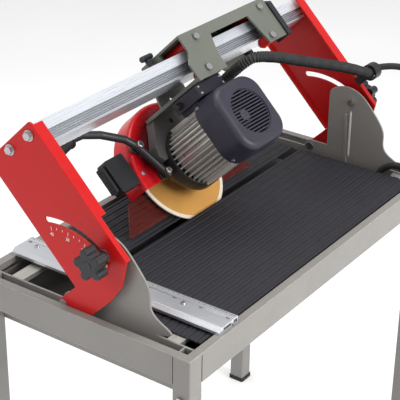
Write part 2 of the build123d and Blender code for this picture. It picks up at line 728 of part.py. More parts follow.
# start in n, outer radius, bore radius, length
STATOR_RINGS = ((52, STATOR_R, 28.0, 64), (43, 42, 31, 84))     # core, windings
REAR_PLATE_RINGS = (
    (HOUSING_N[1] - 10, STATOR_R, SHAFT_R + 0.5, 6),
    (HOUSING_N[1] - 6, SEAT_R, BEARING_R + 0.02, 10),
)
for name, rings in (("stator", STATOR_RINGS), ("rear_bearing_plate", REAR_PLATE_RINGS)):
    with BuildPart() as ringed:
        for start, outer_r, bore_r, length in rings:
            with BuildSketch(spindle_plane(start)):
                Circle(outer_r)
                Circle(bore_r, mode=Mode.SUBTRACT)
            extrude(amount=length)
    save(name, ringed.part)

for name, start in (("bearing_front", 17.1), ("bearing_rear", HOUSING_N[1] - 3.9)):
    with BuildPart() as bearing:
        with BuildSketch(spindle_plane(start)):
            Circle(BEARING_R)
            Circle(SHAFT_R + RUN, mode=Mode.SUBTRACT)
        extrude(amount=9.5)
        # shallow ring recess in the face nearer the blade
        with BuildSketch(spindle_plane(start)):
            Circle(14.6)
            Circle(12.0, mode=Mode.SUBTRACT)
        extrude(amount=0.6, mode=Mode.SUBTRACT)
    save(name, bearing.part)

COVER_N = (HOUSING_N[1] + 0.1, 198.0)
COVER_L = COVER_N[1] - COVER_N[0]
COVER_W, COVER_CORNER, COVER_WALL = 125, 34, 3
with BuildPart() as fan_cover:
    with BuildSketch(spindle_plane(COVER_N[0])):
        RectangleRounded(COVER_W, COVER_W, COVER_CORNER)
    extrude(amount=COVER_L)
    fillet(fan_cover.faces().sort_by(N_AXIS)[-1].edges(), 11)
    # square hollow, then a deeper round one
    with BuildSketch(spindle_plane(COVER_N[0])):
        inner_w = COVER_W - 2 * COVER_WALL
        RectangleRounded(inner_w, inner_w, COVER_CORNER - COVER_WALL)
    extrude(amount=COVER_L - 14, mode=Mode.SUBTRACT)
    with BuildSketch(spindle_plane(COVER_N[0])):
        Circle(50)
    extrude(amount=COVER_L - 5.5, mode=Mode.SUBTRACT)
    # recessed round grille in the end face
    with BuildSketch(spindle_plane(COVER_N[1] - 2)):
        Circle(43)
    extrude(amount=6, mode=Mode.SUBTRACT)
    with BuildSketch(spindle_plane(COVER_N[1] - 8)):
        with Locations(*[(0, k * 5.6) for k in range(-7, 8)]):
            Rectangle(110, 2.8)
        Circle(41, mode=Mode.INTERSECT)
    extrude(amount=8, mode=Mode.SUBTRACT)
save("fan_cover", fan_cover.part)

# one screw head on each rounded corner of the cover
COVER_SCREW_R = 74.4    # underside of the heads, from the spindle axis
with BuildPart() as cover_screws:
    for angle in (45, 135, 225, 315):
        radial = Vector(1, 0, 0) * cos(radians(angle)) + S_DIR * sin(radians(angle))
        seat = head_point(*SPINDLE, COVER_N[0] + 7) + radial * COVER_SCREW_R
        with BuildSketch(Plane(origin=seat, x_dir=N_DIR, z_dir=radial)):
            Circle(3.6)
        extrude(amount=2.2)
save("cover_screws", cover_screws.part)

# ---------------------------------------------------------------- spindle, turning as one
ARBOR_R = 8.0           # shaft end that carries the blade
with BuildPart() as motor_shaft:
    for start, radius, length in ((-34, ARBOR_R, 34), (-8, SHAFT_R, 190)):
        with BuildSketch(spindle_plane(start)):
            Circle(radius)
        extrude(amount=length)
save("motor_shaft", motor_shaft.part)

with BuildPart() as rotor_core:
    with BuildSketch(spindle_plane(54)):
        Circle(27.5)
        Circle(SHAFT_R, mode=Mode.SUBTRACT)
    extrude(amount=60)
save("rotor_core", rotor_core.part)

FAN_N = 154
with BuildPart() as cooling_fan:
    # hub, back disc and vanes
    for outer_r, bore_r, length in ((18, SHAFT_R, 22), (56, 12, 3)):
        with BuildSketch(spindle_plane(FAN_N)):
            Circle(outer_r)
            Circle(bore_r, mode=Mode.SUBTRACT)
        extrude(amount=length)
    with BuildSketch(spindle_plane(FAN_N + 2)):
        with PolarLocations(34, 7):
            Rectangle(40, 2.5)
    extrude(amount=18)
save("cooling_fan", cooling_fan.part)

CORE_T = BLADE_T - 0.4  # blade disc, thinner than its rim
with BuildPart() as saw_blade:
    with BuildSketch(spindle_plane(BLADE_N - CORE_T / 2)):
        Circle(BLADE_R - 7)
        Circle(ARBOR_R, mode=Mode.SUBTRACT)
    extrude(amount=CORE_T)
    with BuildSketch(spindle_plane(BLADE_N - BLADE_T / 2)):
        Circle(BLADE_R)
        Circle(BLADE_R - 7.5, mode=Mode.SUBTRACT)
    extrude(amount=BLADE_T)
save("saw_blade", saw_blade.part)

FLANGE_OFF = CORE_T / 2 + GAP   # flange faces from the blade mid-plane
OUTER_FLANGE_T = 4
with BuildPart() as blade_flanges:
    for start, amount in ((BLADE_N + FLANGE_OFF, 5), (BLADE_N - FLANGE_OFF, -OUTER_FLANGE_T)):
        with BuildSketch(spindle_plane(start)):
            Circle(30)
            Circle(ARBOR_R, mode=Mode.SUBTRACT)
        extrude(amount=amount)
save("blade_flanges", blade_flanges.part)

NUT_H = 7
with BuildPart() as arbor_nut:
    with BuildSketch(spindle_plane(BLADE_N - FLANGE_OFF - OUTER_FLANGE_T - NUT_H)):
        RegularPolygon(13, 6)
        Circle(ARBOR_R, mode=Mode.SUBTRACT)
    extrude(amount=NUT_H)
save("arbor_nut", arbor_nut.part)

# ================================================================ guard and splash shield
GUARD_R = 124.0
GUARD_N = (-42.0, 10.0)
GUARD_T = 2.5
GUARD_W = GUARD_N[1] - GUARD_N[0]
GUARD_DROP = 8.0        # straight lower edge, below the spindle

# inside space, taken out of the guard below
with BuildPart() as guard_void:
    with BuildSketch(spindle_plane(GUARD_N[0] + GUARD_T)):
        Circle(GUARD_R - GUARD_T)
    extrude(amount=GUARD_W - 2 * GUARD_T)
    fillet(circles(guard_void), 6)

with BuildPart() as blade_guard:
    with BuildSketch(spindle_plane(GUARD_N[0])):
        Circle(GUARD_R)
    extrude(amount=GUARD_W)
    fillet(circles(blade_guard), 8)
    add(guard_void.part, mode=Mode.SUBTRACT)
    # straight lower edge
    with BuildSketch(spindle_plane(GUARD_N[0] - 5)):
        with Locations((0, -GUARD_DROP - 100)):
            Rectangle(300, 200)
    extrude(amount=GUARD_W + 10, mode=Mode.SUBTRACT)
    # spindle opening in the motor-side wall
    with BuildSketch(spindle_plane(0)):
        Circle(34)
    extrude(amount=20, mode=Mode.SUBTRACT)
save("blade_guard", blade_guard.part)

# (x from the spindle, s)
SHIELD_OUTLINE = [
    (-184, 33), (178, 33), (186, 60), (140, 85), (112, 85),
    (100, 145), (-100, 145), (-112, 85), (-142, 85),
]
with BuildPart() as splash_shield:
    with BuildSketch(plane_n(-29)):
        with BuildLine():
            Polyline(*[(HEAD_X + x, s) for x, s in SHIELD_OUTLINE], close=True)
        make_face()
        with Locations(SPINDLE):
            Circle(20, mode=Mode.SUBTRACT)
    extrude(amount=2)
save("splash_shield", splash_shield.part)

# ================================================================ handle and switch
HANDLE_N = 23
BAR_R = 7.2
HANDLE_MOUNTS = ((HEAD_X - 95, 157), (HEAD_X - 73, 94))     # (x, s)
# (x from the spindle, s) along the bar, from the guard outwards
HANDLE_BENDS = [
    (-70, 86), (-95, 157), (-112, 179), (-154, 205), (-190, 219), (-218, 220), (-272, 208),
]
handle_points = [head_point(HEAD_X + x, s, HANDLE_N) for x, s in HANDLE_BENDS]
with BuildPart() as handle_bar:
    # spacers between guard and bar
    with BuildSketch(plane_n(GUARD_N[1] + 0.1)):
        with Locations(*HANDLE_MOUNTS):
            Circle(9)
    extrude(amount=6)
    with BuildLine():
        bar_path = Polyline(*handle_points)
    with BuildSketch(Plane(origin=handle_points[0], z_dir=handle_points[1] - handle_points[0])):
        Circle(BAR_R)
    sweep(path=bar_path, transition=Transition.ROUND)
save("handle_bar", handle_bar.part)

# sleeve closed at its outer end
grip_start = head_point(HEAD_X - 222, 219.11, HANDLE_N)
grip_run = head_point(HEAD_X - 276, 207.11, HANDLE_N) - grip_start
with BuildPart() as handle_grip:
    with BuildSketch(Plane(origin=grip_start, z_dir=grip_run)):
        Circle(11.5)
    extrude(amount=grip_run.length)
    with BuildSketch(Plane(origin=grip_start, z_dir=grip_run)):
        Circle(BAR_R + 0.2)
    extrude(amount=grip_run.length - 3.0, mode=Mode.SUBTRACT)
save("handle_grip", handle_grip.part)

with BuildPart() as handle_bolts:
    with BuildSketch(plane_n(HANDLE_N + BAR_R + 0.1)):
        with Locations(*HANDLE_MOUNTS):
            Circle(6.5)
    extrude(amount=4.5)
    fillet(circles(handle_bolts).group_by(N_AXIS)[-1], 2.0)
save("handle_bolts", handle_bolts.part)

# switch box on the guard's near edge
SWITCH_S = 132
with BuildPart() as switch_box:
    with BuildSketch(plane_n(-8)):
        with Locations((HEAD_X - 152, SWITCH_S)):
            RectangleRounded(48, 62, 5)
    extrude(amount=22)
    with BuildSketch(plane_n(-2)):
        with Locations((HEAD_X - 124, 120)):
            Rectangle(10, 22)
    extrude(amount=8)
    # clear the round guard
    with BuildSketch(spindle_plane(-60)):
        Circle(GUARD_R + 0.2)
    extrude(amount=100, mode=Mode.SUBTRACT)
save("switch_box", switch_box.part)

PADDLE_X = HEAD_X - 179.1
PADDLE_T = 6
with BuildPart() as switch_paddle:
    with BuildSketch(plane_x(PADDLE_X)):
        with Locations((3, SWITCH_S)):
            RectangleRounded(16, 50, 3)
    extrude(amount=PADDLE_T)
    # seven ribs on its near face
    with BuildSketch(plane_x(PADDLE_X - PADDLE_T)):
        with Locations(*[(3, SWITCH_S + k * 6.0) for k in range(-3, 4)]):
            Rectangle(12, 2.4)
    extrude(amount=1.2)
save("switch_paddle", switch_paddle.part)

# ================================================================ cooling water and power
PUMP_X, PUMP_Y = 296, -112
with BuildPart() as water_pump:
    with BuildSketch(level(BASIN_BOT + BASIN_WALL + 0.1)):
        with Locations((PUMP_X, PUMP_Y)):
            RectangleRounded(52, 44, 8)
    extrude(amount=28)
    # outlet
    with BuildSketch(end_plane(PUMP_X, PUMP_Y, BASIN_BOT + 16)):
        Circle(7)
    extrude(amount=32)
save("water_pump", water_pump.part)

# (x, y, z) from the pump over the tray's far end and up in a free loop beside the clip
HOSE_POINTS = [
    (329.5, -112.0, -30.0), (337.0, -112.2, -29.0), (345.0, -116.0, -20.0),
    (348.0, -125.0, 0.0), (349.0, -150.0, 17.0), (353.0, -195.0, 22.0),
    (372.0, -236.0, 42.0), (410.0, -256.0, 90.0), (438.0, -214.0, 146.0),
    (438.0, -150.0, 176.0), (414.0, -100.0, 184.0),
]
CLIP_X, CLIP_S, CLIP_N = 384.0, 45.0, 206.0     # centre of the clip's eye
# (x, s, n) from beside the motor to the clip
CONDUIT_POINTS = [
    (104, 160, 217), (190, 128, 217), (298, 76, 215),
    (CLIP_X - 26, CLIP_S + 3, CLIP_N), (CLIP_X - 10, CLIP_S + 0.6, CLIP_N),
    (CLIP_X + 10, CLIP_S, CLIP_N),
]
# (x, s, n) of the short tail at the motor's terminal box
TAIL_POINTS = [
    (HEAD_X + 38.3, 168, 104), (HEAD_X + 54, 168, 118), (HEAD_X + 62, 166, 158),
    (HEAD_X + 64, 163, 202),
]
CONDUIT_R = 10.0
# name, world points, radius, end tangents or none
TUBES = (
    ("water_hose", HOSE_POINTS, 6.8, None),
    ("conduit", [head_point(*point) for point in CONDUIT_POINTS], CONDUIT_R, None),
    ("conduit_tail", [head_point(*point) for point in TAIL_POINTS], 8.0,
     [Vector(1, 0, 0), N_DIR]),
)
for name, points, radius, tangents in TUBES:
    with BuildPart() as tube:
        with BuildLine():
            tube_path = Spline(*points, tangents=tangents)
        with BuildSketch(Plane(origin=tube_path @ 0, z_dir=tube_path % 0)):
            Circle(radius)
        sweep(path=tube_path)
    save(name, tube.part)

# strap on the far tilt bracket's flange, with an eye round the conduit
STRAP_N = (172.1, 193.5)
with BuildPart() as conduit_clip:
    with BuildSketch(plane_s(CLIP_S - 8)):
        with Locations((369.0, -middle(*STRAP_N))):
            Rectangle(12, STRAP_N[1] - STRAP_N[0])
    extrude(amount=16)
    with BuildSketch(plane_x(CLIP_X + 2)):
        with Locations((CLIP_N, CLIP_S)):
            Circle(CONDUIT_R + 5.5)
            Circle(CONDUIT_R + 2.4, mode=Mode.SUBTRACT)
    extrude(amount=20)
save("conduit_clip", conduit_clip.part)
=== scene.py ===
"""Wet bridge saw on a four-legged stand, its head tilted 45 degrees.

+Z is up, X runs along the rail and the floor lies at z = -0.62. "near" parts are on
the -X side and "far" parts on the +X side. The head has its own axes: X, SLOPE (up
the blade's plane) and NORMAL (along the blade's spindle), measured from PIVOT.
Points, profiles and outlines are in millimetres; other lengths are in metres unless
a comment says otherwise.
"""
import json
import math

import bmesh
import bpy
from mathutils import Matrix, Vector


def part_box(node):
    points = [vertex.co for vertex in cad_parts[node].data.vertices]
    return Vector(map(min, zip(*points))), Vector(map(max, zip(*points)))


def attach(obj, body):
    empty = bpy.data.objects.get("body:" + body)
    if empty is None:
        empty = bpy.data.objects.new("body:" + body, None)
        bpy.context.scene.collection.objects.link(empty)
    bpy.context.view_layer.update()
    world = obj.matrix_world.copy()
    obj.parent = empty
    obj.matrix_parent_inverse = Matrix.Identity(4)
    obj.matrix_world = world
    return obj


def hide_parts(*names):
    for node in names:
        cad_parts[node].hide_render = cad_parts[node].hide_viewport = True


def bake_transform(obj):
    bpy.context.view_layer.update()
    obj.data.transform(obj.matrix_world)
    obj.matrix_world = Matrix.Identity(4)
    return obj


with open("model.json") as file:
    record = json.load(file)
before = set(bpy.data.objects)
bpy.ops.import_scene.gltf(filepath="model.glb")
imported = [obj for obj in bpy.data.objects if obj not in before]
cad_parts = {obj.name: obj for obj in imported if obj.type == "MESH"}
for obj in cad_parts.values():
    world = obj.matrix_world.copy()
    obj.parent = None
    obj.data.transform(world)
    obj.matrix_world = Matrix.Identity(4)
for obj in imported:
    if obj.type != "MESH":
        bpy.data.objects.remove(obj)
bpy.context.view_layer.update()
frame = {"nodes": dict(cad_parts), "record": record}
scene = bpy.context.scene

# ------------------------------------------------------------------ axes and shared places
X, Y, Z = Vector((1, 0, 0)), Vector((0, 1, 0)), Vector((0, 0, 1))
DIAGONAL = math.sqrt(0.5)
SLOPE = Vector((0, DIAGONAL, DIAGONAL))
NORMAL = Vector((0, -DIAGONAL, DIAGONAL))
PIVOT = Vector((0, 39.0, 3.0))
SIDES = (("near", -1), ("far", 1))

BLADE_X, BLADE_S, BLADE_N = 27.0, 94.0, -18.0    # blade centre on the head's axes
BOX_S = 172                                      # terminal box centre along SLOPE
STRAP_S, STRAP_N = 45, 206                       # strap that holds the hose ends
DIAL_ZERO = 82.0                                 # degrees from SLOPE towards NORMAL
STUD_RADIUS = 141.5                              # clamp studs, from PIVOT


def head_point(x, s, n):
    """Head coordinates in mm to a point in metres."""
    return (PIVOT + Vector((x, 0, 0)) + SLOPE * s + NORMAL * n) / 1000.0


def from_mm(x, y, z):
    return Vector((x, y, z)) / 1000.0


def head_polar(radius, degrees):
    """(n, s) at an angle from SLOPE towards NORMAL."""
    return radius * math.sin(math.radians(degrees)), radius * math.cos(math.radians(degrees))


# The clamp studs lie on the same ray as the dial's 0 mark
stud_n, stud_s = head_polar(STUD_RADIUS, DIAL_ZERO)
_, STUD_Y, STUD_Z = head_point(0, stud_s, stud_n) * 1000


# ------------------------------------------------------------------ material tools
MATERIALS = {}


def srgb(*levels):
    """Linear RGBA from 0-255 sRGB levels."""
    def linear(level):
        level = level / 255.0
        return level / 12.92 if level <= 0.04045 else ((level + 0.055) / 1.055) ** 2.4
    return (*map(linear, levels), 1.0)


def shade(color, factor):
    return (*(min(1, channel * factor) for channel in color[:3]), 1.0)


class Mat:
    """Node-graph builder around one Principled shader, registered in MATERIALS."""

    def __init__(self, name):
        material = bpy.data.materials.new(name)
        material.use_nodes = True
        MATERIALS[name] = material
        self.tree = material.node_tree
        self.tree.nodes.clear()
        output = self.node("ShaderNodeOutputMaterial")
        self.bsdf = self.node("ShaderNodeBsdfPrincipled")
        self.connect(self.bsdf.outputs["BSDF"], output.inputs["Surface"])
        self.coords = self.node("ShaderNodeTexCoord").outputs["Object"]

    def connect(self, value, socket):
        """Link an output to the socket, or set the socket to a plain value."""
        if isinstance(value, bpy.types.NodeSocket):
            self.tree.links.new(value, socket)
        else:
            socket.default_value = value

    def node(self, kind, inputs=None, **settings):
        node = self.tree.nodes.new(kind)
        for key, value in settings.items():
            setattr(node, key, value)
        for key, value in (inputs or {}).items():
            self.connect(value, node.inputs[key])
        return node

    def feed(self, **values):
        """Set or link shader inputs; underscores stand for spaces."""
        for key, value in values.items():
            self.connect(value, self.bsdf.inputs[key.replace("_", " ")])

    def calc(self, operation, *values, clamp=False):
        return self.node("ShaderNodeMath", dict(enumerate(values)),
                         operation=operation, use_clamp=clamp).outputs[0]

    def dot(self, first, second):
        return self.node("ShaderNodeVectorMath", {0: first, 1: second},
                         operation="DOT_PRODUCT").outputs["Value"]

    def noise(self, scale, detail=4.0, rough=0.55, stretch=None, distortion=0.0):
        vector = self.coords
        if stretch:
            vector = self.node("ShaderNodeMapping", {"Scale": stretch, "Vector": vector}).outputs[0]
        return self.node("ShaderNodeTexNoise", {
            "Scale": scale, "Detail": detail, "Roughness": rough,
            "Distortion": distortion, "Vector": vector}).outputs["Fac"]

    def ramp(self, value, span, to=(0.0, 1.0)):
        """Map span linearly onto to, clamped."""
        return self.node("ShaderNodeMapRange", {
            "From Min": span[0], "From Max": span[1],
            "To Min": to[0], "To Max": to[1], "Value": value}, clamp=True).outputs["Result"]

    def mix(self, factor, first, second):
        return self.node("ShaderNodeMix", {0: factor, 6: first, 7: second},
                         data_type="RGBA").outputs[2]

    def vary(self, value, color, dark, light, span=(0.3, 0.7)):
        """Run between a darker and a lighter shade of the colour."""
        return self.mix(self.ramp(value, span=span), shade(color, dark), shade(color, light))

    def edge(self, radius):
        """Rounded normal, and a mask that is 1 on sharp edges."""
        rounded = self.node("ShaderNodeBevel", {"Radius": radius}, samples=4).outputs[0]
        flat = self.node("ShaderNodeNewGeometry").outputs["Normal"]
        return rounded, self.ramp(self.dot(rounded, flat), span=(0.995, 0.80))

    def bump(self, height, strength, distance, normal=None):
        inputs = {"Strength": strength, "Distance": distance, "Height": height}
        if normal is not None:
            inputs["Normal"] = normal
        return self.node("ShaderNodeBump", inputs).outputs[0]

    def around_spindle(self, centre):
        """Offset from centre, and distance from the spindle axis."""
        offset = self.node("ShaderNodeVectorMath", {0: self.coords, 1: centre},
                           operation="SUBTRACT").outputs[0]
        along = self.dot(offset, NORMAL)
        length = self.node("ShaderNodeVectorMath", {0: offset},
                           operation="LENGTH").outputs["Value"]
        radius = self.calc("SQRT", self.calc("SUBTRACT", self.calc("MULTIPLY", length, length),
                                             self.calc("MULTIPLY", along, along)))
        return offset, radius


# ------------------------------------------------------------------ kinds of material
def painted(name, color, rough, edge, coat, drift, peel=0.12, dust=None, bevel=0.0009,
            spec=0.5, scuffs=0.10, shaded_face=None):
    """Paint with colour drift, dust, scuffs, edge wear mixed with a painted edge highlight, and
    orange peel; a shade colour gives painted shade on a disc's front, lifted as painted light near
    its rim and lower edge.
    """
    mat = Mat(name)
    base = mat.vary(mat.noise(scale=6.0, detail=3.0), color, dark=1 - drift, light=1 + drift)
    if shaded_face:      # painted shade on the disc's front, lifted as painted light towards its rim and lower edge
        offset, radius = mat.around_spindle(head_point(BLADE_X, BLADE_S, 0))
        painted_light_mask = mat.calc("ADD", mat.ramp(radius, span=(0.098, 0.117)),
                          mat.ramp(mat.dot(offset, SLOPE), span=(0.030, -0.020)), clamp=True)
        base = mat.mix(painted_light_mask, shaded_face, base)
    fine = mat.noise(scale=160.0, detail=5.0, rough=0.6)
    base = mat.mix(mat.ramp(fine, span=(0.55, 0.8), to=(0.0, 0.12)), base,
                   dust or shade(color, 1.5))
    scuff = mat.noise(scale=22.0, detail=8.0, rough=0.75, stretch=(1.0, 14.0, 3.0),
                      distortion=0.6)
    base = mat.mix(mat.ramp(scuff, span=(0.66, 0.74), to=(0.0, scuffs)), base,
                   shade(color, 1.9))
    normal, edges = mat.edge(bevel)
    patches = mat.ramp(mat.noise(scale=60.0, detail=6.0, rough=0.7), span=(0.35, 0.62),
                       to=(0.25, 1.0))
    # Sharp edges lighter in patches: partly wear of the paint, partly a painted highlight
    worn_and_highlit = mat.calc("MULTIPLY", edges, patches)
    mat.feed(
        Base_Color=mat.mix(mat.calc("MULTIPLY", worn_and_highlit, 0.75), base, edge),
        Roughness=mat.ramp(mat.noise(scale=35.0, detail=6.0, rough=0.7), span=(0.3, 0.75),
                           to=(rough - 0.07, rough + 0.12)),
        Normal=mat.bump(mat.noise(scale=420.0, detail=3.0), strength=peel, distance=0.00025,
                        normal=normal),
        Coat_Weight=coat,
        Coat_Roughness=0.12,
        Specular_IOR_Level=spec)


def metal(name, color, rough, stretch=None, scale=30.0, streak=0.10, bump=0.06, dirt=0.12,
          metallic=1.0, crevice_shade_reach=None):
    """Streaked bare metal, with painted shade in its recesses out to the given reach."""
    mat = Mat(name)
    streaks = mat.noise(scale=scale, detail=6.0, rough=0.6, stretch=stretch)
    base = mat.vary(streaks, color, dark=1 - streak, light=1 + streak)
    spots = mat.noise(scale=90.0, detail=6.0, rough=0.7)
    base = mat.mix(mat.ramp(spots, span=(0.58, 0.78), to=(0.0, dirt)), base, shade(color, 0.35))
    normal, edges = mat.edge(0.0006)
    # Sharp edges painted lighter: a painted highlight
    base = mat.mix(mat.calc("MULTIPLY", edges, 0.35), base, shade(color, 1.35))
    if crevice_shade_reach:
        # Painted shade in the recesses, darkened by ambient occlusion
        occlusion = mat.node("ShaderNodeAmbientOcclusion", {"Distance": crevice_shade_reach}, samples=8)
        base = mat.mix(mat.ramp(occlusion.outputs["AO"], span=(0.35, 0.85)),
                       shade(color, 0.07), base)
    mat.feed(
        Base_Color=base,
        Metallic=metallic,
        Roughness=mat.ramp(streaks, span=(0.25, 0.75), to=(rough - 0.06, rough + 0.12)),
        Normal=mat.bump(streaks, strength=bump, distance=0.0003, normal=normal))


def moulded(name, color, rough, grain=900.0, bump=0.25, drift=0.15, lift=1.8):
    """Grained plastic or rubber; lift brightens the grain's peaks."""
    mat = Mat(name)
    base = mat.vary(mat.noise(scale=9.0, detail=3.0), color, dark=1 - drift, light=1 + drift)
    grains = mat.noise(scale=grain, detail=3.0, rough=0.5)
    base = mat.mix(mat.ramp(grains, span=(0.5, 0.75), to=(0.0, 0.25)), base, shade(color, lift))
    dust = mat.noise(scale=40.0, detail=7.0, rough=0.75)
    base = mat.mix(mat.ramp(dust, span=(0.62, 0.8), to=(0.0, 0.10)), base, srgb(120, 114, 108))
    normal, edges = mat.edge(0.0010)
    # Sharp edges painted lighter: a painted highlight
    mat.feed(
        Base_Color=mat.mix(mat.calc("MULTIPLY", edges, 0.35), base, shade(color, 2.6)),
        Roughness=mat.ramp(mat.noise(scale=50.0, detail=5.0), span=(0.3, 0.7),
                           to=(rough - 0.08, rough + 0.10)),
        Normal=mat.bump(grains, strength=bump, distance=0.00018, normal=normal))


def blade_material(name, core, rim, rim_radius):
    """Gritty sintered rim outside rim_radius, turned golden core inside it."""
    mat = Mat(name)
    _, radius = mat.around_spindle(head_point(BLADE_X, BLADE_S, BLADE_N))
    rings = mat.node("ShaderNodeTexNoise",
                     {"W": mat.calc("MULTIPLY", radius, 2600.0), "Scale": 1.0, "Detail": 3.0},
                     noise_dimensions="1D").outputs["Fac"]
    base = mat.vary(rings, core, dark=0.86, light=1.1)
    heat = mat.noise(scale=16.0)
    base = mat.mix(mat.ramp(heat, span=(0.45, 0.75), to=(0.0, 0.35)), base, shade(core, 0.72))
    grit = mat.noise(scale=1500.0, detail=2.0)
    rim_color = mat.vary(grit, rim, dark=0.75, light=1.2, span=(0.4, 0.65))
    on_rim = mat.ramp(radius, span=(rim_radius - 0.0006, rim_radius + 0.0002))
    height = mat.calc("ADD", mat.calc("MULTIPLY", rings, 0.5),
                      mat.calc("MULTIPLY", grit, on_rim))
    mat.feed(
        Base_Color=mat.mix(on_rim, base, rim_color),
        Metallic=mat.ramp(on_rim, span=(0, 1), to=(0.55, 0.15)),
        Roughness=mat.ramp(on_rim, span=(0, 1), to=(0.42, 0.75)),
        Normal=mat.bump(height, strength=0.25, distance=0.0002))


def shield_material(name):
    """See-through red plastic, denser at its edges, with a painted highlight along them."""
    mat = Mat(name)
    base = mat.vary(mat.noise(scale=8.0, detail=3.0), srgb(96, 30, 24), dark=0.8, light=1.2)
    normal, edges = mat.edge(0.0008)
    fine = mat.noise(scale=300.0, stretch=(1.0, 6.0, 1.0))
    haze = mat.ramp(mat.noise(scale=25.0, detail=6.0), span=(0.35, 0.7), to=(0.40, 0.52))
    # Sharp edges get a lighter colour as a painted highlight
    mat.feed(
        Base_Color=mat.mix(mat.calc("MULTIPLY", edges, 0.85), base, srgb(226, 96, 70)),
        Roughness=mat.ramp(fine, span=(0.3, 0.75), to=(0.06, 0.22)),
        Alpha=mat.calc("ADD", haze, mat.calc("MULTIPLY", edges, 0.35), clamp=True),
        Normal=mat.bump(fine, strength=0.05, distance=0.0002, normal=normal),
        IOR=1.49)


def winding_material(name):
    mat = Mat(name)
    wires = mat.noise(scale=240.0, rough=0.6, stretch=(1.0, 1.0, 8.0))
    mat.feed(
        Base_Color=mat.mix(mat.ramp(wires, span=(0.35, 0.65)),
                           srgb(120, 58, 26), srgb(196, 112, 60)),
        Metallic=0.7,
        Roughness=mat.ramp(wires, span=(0.3, 0.7), to=(0.25, 0.5)),
        Normal=mat.bump(wires, strength=0.5, distance=0.0006))


# ------------------------------------------------------------------ the materials
ALONG_X, ALONG_Y = (1.0, 60.0, 60.0), (60.0, 1.0, 60.0)    # directions of drawn streaks

# The light edge colours below stand for edge wear and a painted highlight along the edges
painted("frame_grey", srgb(132, 129, 125), rough=0.38, edge=srgb(238, 235, 230), coat=0.08,
        drift=0.05, dust=srgb(176, 170, 162), bevel=0.0016)
painted("bracket_red", srgb(188, 14, 16), rough=0.34, edge=srgb(244, 120, 70), coat=0.06,
        drift=0.05, peel=0.06, dust=srgb(206, 34, 26), spec=0.28, bevel=0.0013, scuffs=0.03)
# Guard: painted shade on the disc's front, lifted as painted light near its rim and lower edge
painted("guard_red", srgb(196, 10, 24), rough=0.22, edge=srgb(240, 80, 50), coat=0.12,
        drift=0.06, peel=0.06, dust=srgb(150, 16, 20), bevel=0.0015, spec=0.35, scuffs=0.03,
        shaded_face=srgb(92, 6, 14))
moulded("table_black", srgb(27, 27, 34), rough=0.62, grain=600.0, bump=0.5, drift=0.2)
metal("aluminium", srgb(232, 236, 243), rough=0.28, stretch=ALONG_X, scale=14.0, streak=0.05,
      dirt=0.03, metallic=0.7)
metal("fence_alu", srgb(222, 224, 228), rough=0.32, stretch=ALONG_Y, scale=14.0, streak=0.07,
      dirt=0.05, metallic=0.85)
# Fins: painted shade in the gaps between them
metal("fin_alloy", srgb(228, 226, 220), rough=0.30, scale=40.0, streak=0.05, bump=0.04,
      dirt=0.04, metallic=0.55, crevice_shade_reach=0.006)
metal("steel", srgb(190, 190, 192), rough=0.28, scale=80.0, streak=0.12, bump=0.08, dirt=0.2)
metal("bar_steel", srgb(200, 196, 190), rough=0.38, stretch=(1.0, 40.0, 40.0), scale=10.0,
      dirt=0.15, metallic=0.8)
blade_material("blade_gold", core=srgb(226, 168, 88), rim=srgb(236, 226, 208),
               rim_radius=0.0935)
shield_material("shield_red")
moulded("black_plastic", srgb(26, 27, 31), rough=0.42, grain=800.0, bump=0.2)
moulded("cover_plastic", srgb(40, 38, 52), rough=0.44, grain=1100.0, bump=0.22)
painted("cast_dark", srgb(34, 36, 38), rough=0.42, edge=srgb(110, 108, 104), coat=0.1,
        drift=0.15, peel=0.4)
painted("hanger_cast", srgb(92, 90, 88), rough=0.5, edge=srgb(170, 166, 160), coat=0.0,
        drift=0.18, peel=0.6)
moulded("rubber_black", srgb(22, 22, 24), rough=0.6, grain=500.0, bump=0.35)
moulded("roller_red", srgb(196, 24, 22), rough=0.35, grain=500.0, bump=0.15, lift=1.2)
moulded("basin_grey", srgb(96, 94, 92), rough=0.5, grain=500.0, bump=0.3)
painted("carriage_grey", srgb(100, 103, 94), rough=0.38, edge=srgb(205, 204, 196), coat=0.1,
        drift=0.08, dust=srgb(150, 150, 140))
winding_material("copper")
metal("rail_grey", srgb(150, 152, 156), rough=0.36, stretch=ALONG_X, scale=14.0, streak=0.08,
      dirt=0.08)
# Lighter paint for the plate beads: a painted highlight
painted("bead_highlight", srgb(196, 190, 184), rough=0.34, edge=srgb(235, 232, 226), coat=0.1,
        drift=0.05)
moulded("ink_black", srgb(20, 20, 22), rough=0.6, bump=0.05)
moulded("ink_white", srgb(238, 236, 230), rough=0.55, bump=0.05, lift=1.05)
moulded("tip_orange", srgb(236, 138, 52), rough=0.4, bump=0.1, lift=1.1)
moulded("white_plastic", srgb(232, 230, 226), rough=0.4, bump=0.08, lift=1.02)
metal("dial_bronze", srgb(205, 130, 110), rough=0.35, scale=90.0, streak=0.12, bump=0.1)

# CAD pieces take their slot's material, apart from these
OWN_MATERIAL = {
    "stop_fence": "fence_alu", "fan_cover": "cover_plastic", "terminal_box": "cover_plastic",
    "hanger_arm": "hanger_cast", "support_bars": "bar_steel", "angle_pointer": "dial_bronze",
    "switch_paddle": "rubber_black", "motor_front_bell": "cast_dark",
}
slot_of = {part["node"]: part["material_slot"] for part in frame["record"]["subparts"]}
for node_name, piece in frame["nodes"].items():
    piece.data.materials.clear()
    piece.data.materials.append(MATERIALS[OWN_MATERIAL.get(node_name) or slot_of[node_name]])


